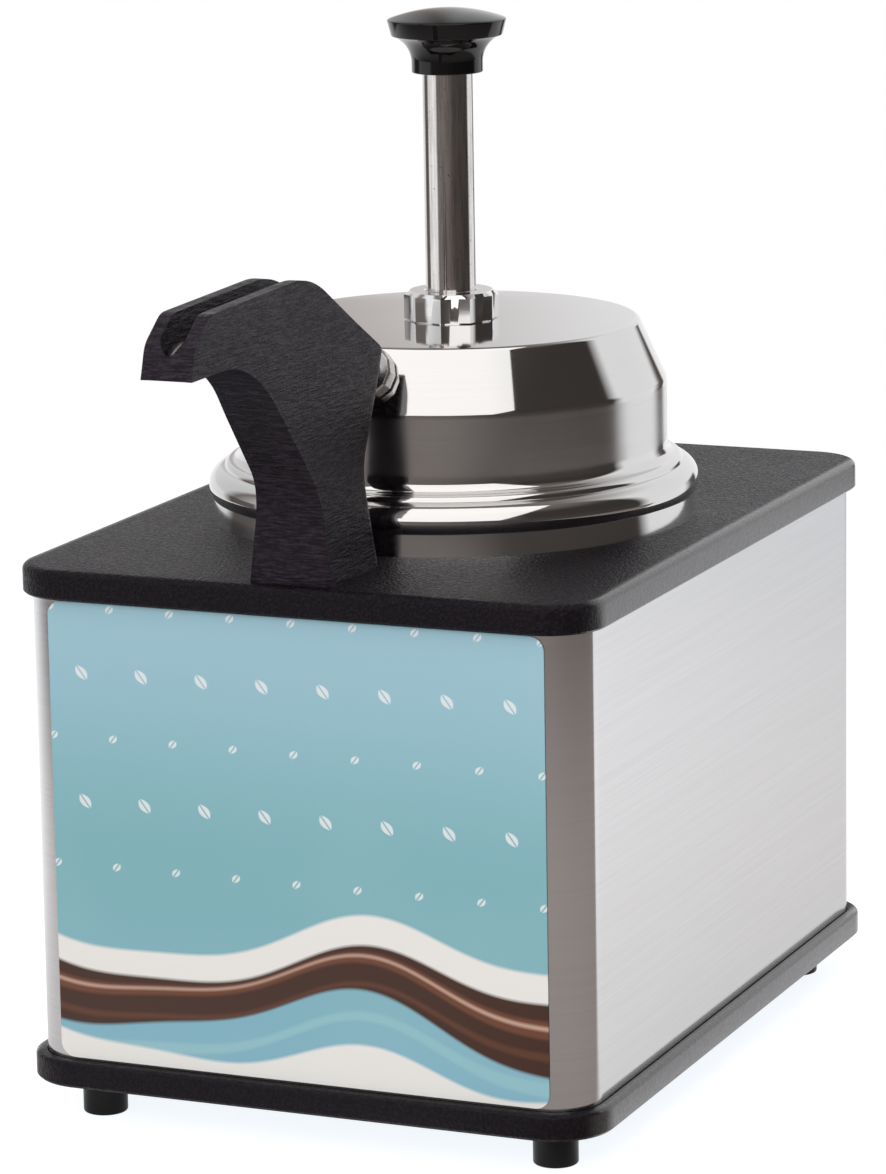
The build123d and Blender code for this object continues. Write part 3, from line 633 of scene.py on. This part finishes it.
makeWrapper()
makeCover()
makeFilm()
place(dressed("base_tray", "baseTray", 0.4 * mm), "cabinet", "black_enamel", "tray", "base_tray")
place(dressed("rubber_feet", "rubberFeet", 0.3 * mm), "cabinet", "black_rubber", "foot", "rubber_feet")
print("cabinet made")


spout = {"slotHalf": 4.8 * mm, "out": 0.46 * mm, "edge": 0.3 * mm}


def filledOut(piece, half, out):
    # outline of the core moved out to the cheeks: a point goes where its own outline faces, moved by out, meet
    mesh = piece.data
    points = np.empty(len(mesh.vertices) * 3)
    mesh.vertices.foreach_get("co", points)
    points = points.reshape(-1, 3)
    normals = np.empty(len(mesh.polygons) * 3)
    mesh.polygons.foreach_get("normal", normals)
    normals = normals.reshape(-1, 3)
    corners = np.empty(len(mesh.polygons), int)
    mesh.polygons.foreach_get("loop_total", corners)
    corner = np.empty(len(mesh.loops), int)
    mesh.loops.foreach_get("vertex_index", corner)
    owner = np.repeat(np.arange(len(corners)), corners)
    wide = np.zeros(len(corners), bool)
    np.logical_or.at(wide, owner, np.abs(points[corner, 0]) > half)
    used = (wide & (np.abs(normals[:, 0]) < 0.08))[owner]
    facing = normals[owner[used]]
    joined = np.zeros((len(points), 3, 3))
    wanted = np.zeros((len(points), 3, 1))
    np.add.at(joined, corner[used], facing[:, :, None] * facing[:, None, :])
    np.add.at(wanted, corner[used], facing[:, :, None] * out)
    points += (np.linalg.pinv(joined, rcond=1e-3) @ wanted)[:, :, 0]
    mesh.vertices.foreach_set("co", points.ravel())
    mesh.update()
    return piece


core = filledOut(dressed("spout_core", "spoutCore", spout["edge"], sharp=28), spout["slotHalf"], spout["out"])
place(core, "cabinet", "black_enamel", "spout", "spout_core")
for node, name in (("spout_cheek_left", "spoutCheekLeft"), ("spout_cheek_right", "spoutCheekRight")):
    place(dressed(node, name, spout["edge"], sharp=28), "cabinet", "black_enamel", "spout", node)
place(dressed("spout_tube", "spoutTube", 0.2 * mm), "lid_and_pump", "satin_steel", "satin", "spout_tube")
print("spout made")


lid = {"sheet": 1.0 * mm, "bead": 7.1 * mm, "beadZ": 222.2 * mm, "waist": math.radians(-32),
       "waistBend": 1.2 * mm, "step": 2.6 * mm, "stepRise": 6.8 * mm,
       "stepOut": 3.4 * mm, "wall": 81.1 * mm, "shoulderZ": 260.6 * mm, "crown": 70.8 * mm,
       "hollow": 3.8 * mm, "bend": 4.0 * mm, "crownBend": 2.4 * mm, "neck": 13.4 * mm}


def lidLine(inset):
    # outer line from flared skirt to crown: waist, lower bead, upper bead, hollow, wall, sloping shoulder, crown
    outer = (lidHigh[0] - lidLow[0]) / 2
    top = lidHigh[2]
    bead, step, hollow = lid["bead"] - inset, lid["step"] - inset, lid["hollow"] + inset
    lower = np.array([outer - lid["bead"], lid["beadZ"]])
    upper = np.array([lid["wall"] + lid["stepOut"], lid["beadZ"] + lid["stepRise"]])
    apart = upper - lower
    gap = np.linalg.norm(apart)
    along = (gap**2 + bead**2 - step**2) / (2 * gap)
    side = math.sqrt(bead**2 - along**2)
    unit = apart / gap
    groove = lower + unit * along + np.array([unit[1], -unit[0]]) * side
    lowerEnd = math.atan2(*(groove - lower)[::-1])
    upperStart = math.atan2(*(groove - upper)[::-1])
    wall = lid["wall"] - inset
    reach = step + hollow
    offset = wall + hollow - upper[0]
    rise = math.sqrt(reach**2 - offset**2)
    upperEnd = math.atan2(rise, offset)
    hollowAt = upper + np.array([offset, rise])
    slope = math.atan2(lid["wall"] - lid["crown"], top - lid["shoulderZ"])
    cut = inset * math.tan(slope / 2)
    crownCut = inset * math.tan((math.pi / 2 - slope) / 2)
    shoulder = (wall, lid["shoulderZ"] - cut)
    crown = (lid["crown"] - crownCut, top - inset)

    def arc(centre, radius, start, end, count=14):
        a = np.linspace(start, end, count)
        return np.stack([centre[0] + radius * np.cos(a), centre[1] + radius * np.sin(a)], -1)

    beadLine = arc(lower, bead, lid["waist"], lowerEnd, 22)
    parts = [roundedPath([(outer - inset, lidLow[2]), beadLine[0], beadLine[2]], [0, lid["waistBend"], 0], steps=6),
             beadLine[3:],
             arc(upper, step, upperStart, upperEnd)[1:],
             arc(hollowAt, hollow, upperEnd + math.pi, math.pi)[1:]]
    radii = [0, lid["bend"] - inset, lid["crownBend"] - inset, 0]
    neck = (lid["neck"], top - inset)
    upperPart = roundedPath([(wall, hollowAt[1] + 1 * mm), shoulder, crown, neck], radii, steps=10)
    return np.concatenate(parts + [upperPart])


def makeLid():
    outer = lidLine(0.0)
    inner = lidLine(lid["sheet"])[::-1]
    piece = turned("lidShell", np.concatenate([outer, inner]), (0, pumpY), around=320, sharp=50)
    return place(piece, "lid_and_pump", "polished_steel", "lid", "lid_shell")


nut = {"sides": 10, "corner": 17.9 * mm, "bore": 13.1 * mm, "hole": 9.75 * mm, "cap": 3.4 * mm, "turn": 28,
       "chamfer": 1.4 * mm, "hollow": 0.7 * mm, "groove": 1.6 * mm, "grooveTall": 0.45 * mm, "faceIn": 0.5 * mm,
       "faceDrop": 0.15 * mm, "faceFlat": 0.8 * mm, "mouth": 0.5 * mm}


def makeLockNut():
    low, high = boxOf("lock_nut")
    bottom, top = low[2], high[2]
    apothem = nut["corner"] * math.cos(math.pi / nut["sides"])
    wide = nut["corner"] * 1.01
    groove, step = apothem - nut["groove"], bottom + nut["grooveTall"]
    face, hole, cap = apothem - nut["hollow"], nut["hole"], top - nut["cap"]
    profile = [(nut["bore"], bottom), (groove, bottom), (groove, step), (wide, step), (wide, top - nut["chamfer"]),
               (face - nut["faceIn"], top - nut["faceDrop"]), (face - nut["faceFlat"], top),
               (hole + nut["mouth"], top), (hole, top - nut["mouth"]), (hole, cap), (nut["bore"], cap)]
    turn = math.radians(nut["turn"]) + math.pi / nut["sides"]
    piece = facetedRing("lockNut", nut["sides"], apothem, profile, (0, pumpY), turn, nut["hollow"])
    return place(piece, "lock_ring", "polished_steel", "nut", "lock_nut")


stem = {"radius": 9.5 * mm, "wall": 1.2 * mm}


def makeStem():
    r, w = stem["radius"], stem["wall"]
    low, high = stemLow[2], stemHigh[2]
    profile = [(r, low), (r, high), (r - w, high), (r - w, low)]
    piece = turned("stemTube", profile, (0, pumpY), around=160)
    return place(piece, "plunger", "polished_steel", "stem", "stem")


knob = {"collar": 13.4 * mm, "collarRise": 4.5 * mm, "bandRise": 13.9 * mm, "rimRise": 20.1 * mm,
        "rim": 22.4 * mm, "band": 20.9 * mm, "cove": 19.4 * mm, "bore": 9.5 * mm, "soft": 0.45 * mm,
        "coveBow": 1.45 * mm, "lip": 0.6 * mm, "domeIn": 1.0 * mm, "domeDrop": 0.2 * mm}


def makeKnob():
    # collar, hollow cove, flared band and low dome; the cove and dome are circular arcs
    low, high = boxOf("plunger_knob")
    base, top = low[2], high[2]
    k = knob
    cove = [(k["collar"], base + k["collarRise"]), (k["cove"], base + k["bandRise"] - k["lip"])]
    bow = np.linspace(0, 1, 16)[:, None]
    chord = np.array(cove[0]) * (1 - bow) + np.array(cove[1]) * bow
    normal = np.array([cove[0][1] - cove[1][1], cove[1][0] - cove[0][0]])
    normal = normal / np.linalg.norm(normal)
    coveLine = chord + normal * k["coveBow"] * 4 * bow * (1 - bow)
    domeEdge = k["rim"] - k["domeIn"]
    rimZ = base + k["rimRise"]
    rise = top - rimZ - k["domeDrop"]
    sphere = (domeEdge**2 + rise**2) / (2 * rise)
    r = np.linspace(domeEdge, pole, 26)
    dome = np.stack([r, top - sphere + np.sqrt(sphere**2 - r**2)], -1)
    start = roundedPath([(k["bore"], base), (k["collar"], base), cove[0]], [0, k["soft"], 0])
    band = roundedPath([cove[1], (k["band"], base + k["bandRise"]), (k["rim"], rimZ - 0.3 * mm), tuple(dome[0])],
                       [0, 0.5 * mm, 0.45 * mm, 0], steps=6)
    inner = np.array([[pole, stemHigh[2]], [k["bore"], stemHigh[2]]])
    profile = np.concatenate([start[:-1], coveLine, band[1:-1], dome, inner])
    piece = turned("plungerKnob", profile, (0, pumpY), around=192, sharp=30)
    return place(piece, "plunger", "black_phenolic", "knob", "plunger_knob")


makeLid()
makeLockNut()
makeStem()
makeKnob()
place(dressed("outlet_nut", "outletNut", 0.25 * mm, sharp=20), "lid_and_pump", "polished_steel", "satin", "outlet_nut")
place(dressed("outlet_fitting", "outletFitting", 0.2 * mm), "lid_and_pump", "satin_steel", "satin", "outlet_fitting")
print("lid and pump made")


jar = {"radius": 78 * mm, "wall": 0.7 * mm, "heel": 1.8 * mm, "bead": 1.5 * mm, "beadOut": 0.4 * mm,
       "beadTurn": (-2.6, 2.0)}
vessel = {"radius": 82 * mm, "wall": 0.8 * mm, "heel": 1.8 * mm, "flange": 89 * mm}


def heel(radius, low, bend, steps=10):
    # quarter round from the flat bottom up into the wall
    a = np.linspace(-math.pi / 2, 0, steps)
    return np.stack([radius - bend + bend * np.cos(a), low + bend + bend * np.sin(a)], -1)


def makeJar():
    low, high = boxOf("jar_floor")[0], boxOf("jar")[1]
    r, w, b = jar["radius"], jar["wall"], jar["bead"]
    beadZ = high[2] - b
    outer = np.concatenate([[(pole, low[2])], heel(r, low[2], jar["heel"])])
    a = np.linspace(*jar["beadTurn"], 16)
    bead = np.stack([r + jar["beadOut"] + b * np.cos(a), beadZ + b * np.sin(a)], -1)
    inner = np.concatenate([[(pole, low[2] + w)], heel(r - w, low[2] + w, jar["heel"] - w)])[::-1]
    piece = turned("jarShell", np.concatenate([outer, bead, inner]), (0, pumpY), around=192, sharp=40)
    return place(piece, "jar_body", "satin_steel", "satin", "jar", "jar_floor")


def makeVessel():
    low, high = boxOf("vessel_floor")[0], boxOf("water_vessel")[1]
    r, w, top = vessel["radius"], vessel["wall"], high[2]
    outer = np.concatenate([[(pole, low[2])], heel(r, low[2], vessel["heel"])])
    rim = [(r, top - w), (vessel["flange"], top - w), (vessel["flange"], top), (r, top)]
    inner = np.concatenate([[(pole, low[2] + w)], heel(r - w, low[2] + w, vessel["heel"] - w)])[::-1]
    piece = turned("waterVessel", np.concatenate([outer, rim, inner]), (0, pumpY), around=192, sharp=40)
    return place(piece, "cabinet", "satin_steel", "satin", "water_vessel", "vessel_floor")


makeJar()
makeVessel()
place(dressed("pump_cylinder", "pumpCylinder"), "lid_and_pump", "satin_steel", "satin", "pump_cylinder")
place(dressed("riser_tube", "riserTube"), "lid_and_pump", "satin_steel", "satin", "riser_tube")
place(dressed("valve_body", "valveBody", 0.4 * mm), "lid_and_pump", "acetal", "acetal", "valve_body")
place(dressed("pump_head", "pumpHead", 0.3 * mm), "lid_and_pump", "acetal", "acetal", "pump_head")
coil = place(dressed("return_spring", "returnSpring"), "lid_and_pump", "spring_steel", "wire", "return_spring")
foot, head = boxOf("return_spring")
stroke = next(joint["range_m"][1] for joint in frame["record"]["behaviour"]["joints"] if joint["name"] == "pump_stroke")
1 - stroke / (head[2] - foot[2])
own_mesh(coil)
print("jar, vessel and inner pump made")


place(dressed("thermostat_knob", "thermostatKnob", 0.3 * mm), "thermostat_dial", "black_plastic", "plastic",
      "thermostat_knob")
place(dressed("dial_plate", "dialPlate", 0.15 * mm), "cabinet", "dial_print", "plate", "dial_plate")
place(dressed("switch_frame", "switchFrame", 0.3 * mm), "cabinet", "black_plastic", "plastic", "switch_frame")
place(dressed("power_rocker", "powerRocker", 0.3 * mm), "switch_rocker", "black_plastic", "plastic", "power_rocker")
place(dressed("cord_gland", "cordGland", 0.3 * mm), "cabinet", "black_plastic", "plastic", "cord_gland")

dial = {"tickIn": 19.6 * mm, "tickOut": 21.2 * mm, "tickWide": 0.7 * mm, "numbers": 6, "sweep": 300,
        "numberAt": 23.5 * mm, "numberTall": 3.6 * mm, "pointerIn": 14.6 * mm, "pointerOut": 17.8 * mm,
        "pointerWide": 1.4 * mm, "skirtDeep": 13.5 * mm, "signTall": 3.0 * mm, "signAt": 14.2 * mm,
        "inkDeep": 0.03 * mm}


def wordMesh(name, text, size, x, z, y):
    # flat lettering on the back, read from behind
    curve = bpy.data.curves.new(name, "FONT")
    curve.body = text
    curve.size = size
    curve.align_x = "CENTER"
    curve.align_y = "CENTER"
    curve.extrude = dial["inkDeep"]
    piece = bpy.data.objects.new(name, curve)
    bpy.context.collection.objects.link(piece)
    bpy.context.view_layer.update()
    mesh = bpy.data.meshes.new_from_object(piece)
    bpy.data.objects.remove(piece)
    points = np.empty(len(mesh.vertices) * 3)
    mesh.vertices.foreach_get("co", points)
    points = points.reshape(-1, 3)
    placed = np.column_stack([x - points[:, 0], y + dial["inkDeep"] + points[:, 2], z + points[:, 1]])
    mesh.vertices.foreach_set("co", placed.ravel())
    mesh.name = name
    made = bpy.data.objects.new(name, mesh)
    bpy.context.collection.objects.link(made)
    return made


def makeDialMarks():
    # ticks and numbers stand clockwise from the top, as the knob's pointer passes them
    centre = middleOf("dial_plate")
    y = boxOf("dial_plate")[1][1]
    for i in range(dial["numbers"]):
        a = math.radians(i * dial["sweep"] / (dial["numbers"] - 1))
        out = np.array([-math.sin(a), math.cos(a)])
        side = np.array([-out[1], out[0]]) * dial["tickWide"] / 2
        at = centre[[0, 2]]
        corners = [at + out * dial["tickIn"] - side, at + out * dial["tickOut"] - side,
                   at + out * dial["tickOut"] + side, at + out * dial["tickIn"] + side]
        place(flatMark(f"dialTick{i}", corners, y), "cabinet", "dial_print", "white")
        spot = at + out * dial["numberAt"]
        word = wordMesh(f"dialNumber{i}", str(i), dial["numberTall"], spot[0], spot[1], y)
        place(word, "cabinet", "dial_print", "white")
    knobTop = boxOf("thermostat_knob")[1][1]
    wide = dial["pointerWide"] / 2
    low, high = centre[2] + dial["pointerIn"], centre[2] + dial["pointerOut"]
    corners = [(centre[0] - wide, low), (centre[0] + wide, low), (centre[0] + wide, high), (centre[0] - wide, high)]
    place(flatMark("dialPointer", corners, knobTop - dial["skirtDeep"]), "thermostat_dial", "black_plastic", "white")
    middle, high = middleOf("switch_frame"), boxOf("switch_frame")[1]
    for name, sign, side in (("switchOn", "I", 1), ("switchOff", "O", -1)):
        word = wordMesh(name, sign, dial["signTall"], middle[0], middle[2] + side * dial["signAt"], high[1])
        place(word, "cabinet", "dial_print", "white")


makeDialMarks()
print("rear controls made")


kept = {"foot_screws": "plated", "tie_rods": "plated", "seam_strip": "plated", "vessel_gasket": "rubber",
        "jar_rest": "satin", "insulation_sleeve": "fibre", "heating_element": "sheath", "heater_clamp": "plated",
        "clamp_stud": "plated", "thermostat": "plated", "thermostat_bulb": "copper", "terminal_block": "acetal",
        "spout_heater": "sheath", "spout_screws": "plated", "head_gasket": "rubber", "stem_bushing": "acetal",
        "valve_ball": "nut", "spring_seat": "acetal", "outlet_gasket": "rubber",
        "piston": "acetal", "piston_seal": "rubber"}
for node, finish in kept.items():
    solid = frame["nodes"][node]
    if not solid.material_slots:
        solid.data.materials.append(None)
    for slot in solid.material_slots:
        slot.material = finishes[finish]
print("kept solids finished:", len(kept))


# the floor's colour dims towards its rim, and the glow metal sees in it rises away from the cabinet's sides and falls
# off towards the back: painted shade
studio = {"floorRadius": 1.25, "floorWhite": 0.40, "farDim": 0.5, "seenLift": 0.9, "mirrorGlowShade": (0.68, 0.26, 0.10),
          "far": (0.1, 1.3), "turnUp": (0.05, 0.12), "overhead": (0.55, 0.95), "overheadTone": 0.22, "aimZ": 0.2,
          # lamp: azimuth, elevation, distance, size, radiance, whether metal shows it
          "lamps": {"front softbox": (17, 49, 2.3, (3.0, 3.9), 1.35, True),
                    "front fill": (4, 12, 2.4, (1.8, 1.8), 1.6, False),
                    "top fill": (60, 75, 2.2, (1.6, 1.6), 0.5, False)},
          "low": [(-180, 1.05), (-114, 0.95), (-105, 0.12), (-84, 0.14), (-78, 1.10), (-36, 1.10), (-30, 0.22),
                  (20, 0.16), (45, 0.075), (118, 0.055), (126, 1.10), (159, 1.10), (168, 0.14), (176, 0.08),
                  (179, 1.05)],
          "high": [(-180, 1.05), (-160, 1.0), (-154, 0.40), (-146, 0.85), (-112, 0.80), (-102, 0.20), (-84, 0.6),
                   (-38, 1.10), (-31, 0.20),
                   (45, 0.15), (58, 0.055), (118, 0.05), (126, 1.10), (179, 1.05)]}


def studioTone(level):
    # dim things are a little warm, bright ones a little cool
    return rgb(level * 1.10, level * 0.97, level * 0.92) if level < 0.5 else rgb(level, level * 1.005, level * 1.02)


def heading(azimuth):
    # level direction: azimuth is counted from the front towards the viewer's right
    turn = math.radians(azimuth)
    return math.sin(turn), -math.cos(turn)


def makeFloor():
    # round pale floor: lit plainly, lifted to white for the camera; metal sees it lifted behind the warmer too. Its
    # colour darkens towards its rim, and the lift that metal sees is dimmer next to the cabinet's sides and towards the
    # back: painted shade
    angle = np.linspace(0, 2 * math.pi, 128, endpoint=False)
    share = np.linspace(0, 1, 12)[:, None]
    radius = studio["floorRadius"]
    points = np.stack([share * radius * np.cos(angle), share * radius * np.sin(angle) + cabinetY,
                       np.zeros((12, 128))], -1)
    piece = gridMesh("floor", points, wrapColumns=True)
    finish = Finish("floor white", Roughness=0.9, Specular_IOR_Level=0.0)
    x, y, z = finish.axes(finish.place)
    level = finish.noise(3.0, 2.0, 0.5)
    tone = studio["floorWhite"]
    shade = finish.mix(level, rgb(tone * 1.07, tone * 0.965, tone * 0.92), rgb(tone * 1.10, tone * 0.995, tone * 0.95))
    # painted shade: the floor's colour falls to half towards its rim, a painted fall-off of light
    far = (x * x + (y - cabinetY) * (y - cabinetY)).smooth(*studio["far"])
    finish.set(Base_Color=finish.mix(far * studio["farDim"], shade, rgb(0, 0, 0)))
    ray = finish.node("ShaderNodeLightPath", {}, {}).outputs
    seen = Wire(finish, ray["Is Camera Ray"]) * studio["seenLift"]
    aside = x.absolute() - bodyHigh[0]
    right = x.smooth(-0.05, 0.05)
    behind = (y - frontY - aside).smooth(-0.01, 0.05) * right + y.smooth(-0.7, 0.3) * (1 - right)
    near, rise, backShade = studio["mirrorGlowShade"]
    # painted shade in what metal reflects: the glow is dimmer right beside the cabinet's sides, a painted contact
    # shadow, and dimmer towards the back
    shadedGlow = near + aside.smooth(-0.02, 0.42) * rise - (y - aside * 2.33).smooth(-0.2, 0.3) * backShade
    mirrored = Wire(finish, ray["Is Glossy Ray"]) * behind * shadedGlow
    glow = finish.node("ShaderNodeEmission", {}, {"Color": rgb(0.955, 1.0, 1.045), "Strength": seen + mirrored})
    total = finish.node("ShaderNodeAddShader", {}, {0: finish.shader.outputs[0], 1: glow.outputs[0]})
    output = finish.tree.nodes["Material Output"]
    finish.feed(output.inputs["Surface"], total.outputs[0])
    piece.data.materials.append(finish.material)


def areaLight(name, azimuth, elevation, distance, size, radiance, shown):
    # soft box on a sphere round the warmer, facing it; its power follows from the radiance and the area
    light = bpy.data.lights.new(name, "AREA")
    light.shape = "RECTANGLE"
    light.size, light.size_y = size
    light.energy = radiance * math.pi * size[0] * size[1]
    lamp = bpy.data.objects.new(name, light)
    bpy.context.collection.objects.link(lamp)
    rise = math.radians(elevation)
    level = heading(azimuth)
    away = Vector((level[0] * math.cos(rise), level[1] * math.cos(rise), math.sin(rise)))
    turn = (-away).to_track_quat("-Z", "Y").to_matrix().to_4x4()
    aim = Vector((0, cabinetY, studio["aimZ"]))
    lamp.matrix_world = Matrix.Translation(aim + away * distance) @ turn
    lamp.visible_glossy = shown


def makeWorld():
    # white sweep round the back, dim room in front; the camera sees plain white
    world = bpy.data.worlds.new("studio")
    world.use_nodes = True
    nodes = Tree(world.node_tree)
    x, y, z = nodes.axes(nodes.node("ShaderNodeTexCoord", {}, {}).outputs["Generated"])
    turn = x.maths("ARCTAN2", x, 0 - y) / (2 * math.pi) + 0.5
    low, high = (nodes.ramp(turn, [((at + 180) / 360, studioTone(level)) for at, level in studio[part]])
                 for part in ("low", "high"))
    around = nodes.mix(z.smooth(*studio["turnUp"]), low, high)
    tone = nodes.mix(z.smooth(*studio["overhead"]), around, studioTone(studio["overheadTone"]))
    seen = Wire(nodes, nodes.node("ShaderNodeLightPath", {}, {}).outputs["Is Camera Ray"])
    nodes.feed(world.node_tree.nodes["Background"].inputs["Color"], nodes.mix(seen, tone, rgb(1, 1, 1)))
    bpy.context.scene.world = world


view = {"azimuth": 23.2512, "elevation": 11.9242, "roll": -0.9867, "focal": 5197.01, "tall": 1174,
        "from": (0.7623, -1.7886, 0.5899), "sensor": 36.0, "clip": 30.0}


def makeCamera():
    # right, up and forward axes from azimuth, elevation and roll
    a, e, r = (math.radians(view[key]) for key in ("azimuth", "elevation", "roll"))
    forward = -np.array([math.sin(a) * math.cos(e), -math.cos(a) * math.cos(e), math.sin(e)])
    right = np.cross(forward, [0, 0, 1])
    right /= np.linalg.norm(right)
    up = np.cross(right, forward)
    right, up = math.cos(r) * right + math.sin(r) * up, -math.sin(r) * right + math.cos(r) * up
    data = bpy.data.cameras.new("camera")
    data.sensor_fit = "VERTICAL"
    data.sensor_height = view["sensor"]
    data.lens = view["focal"] / view["tall"] * view["sensor"]
    data.clip_end = view["clip"]
    camera = bpy.data.objects.new("camera", data)
    bpy.context.collection.objects.link(camera)
    matrix = Matrix.Identity(4)
    for i in range(3):
        matrix[i][0], matrix[i][1], matrix[i][2] = right[i], up[i], -forward[i]
    matrix[0][3], matrix[1][3], matrix[2][3] = view["from"][0], view["from"][1] + cabinetY, view["from"][2]
    camera.matrix_world = matrix
    bpy.context.scene.camera = camera


makeFloor()
makeWorld()
for name, settings in studio["lamps"].items():
    areaLight(name, *settings)
makeCamera()
bpy.context.scene.view_settings.view_transform = "Standard"
print("stage set")
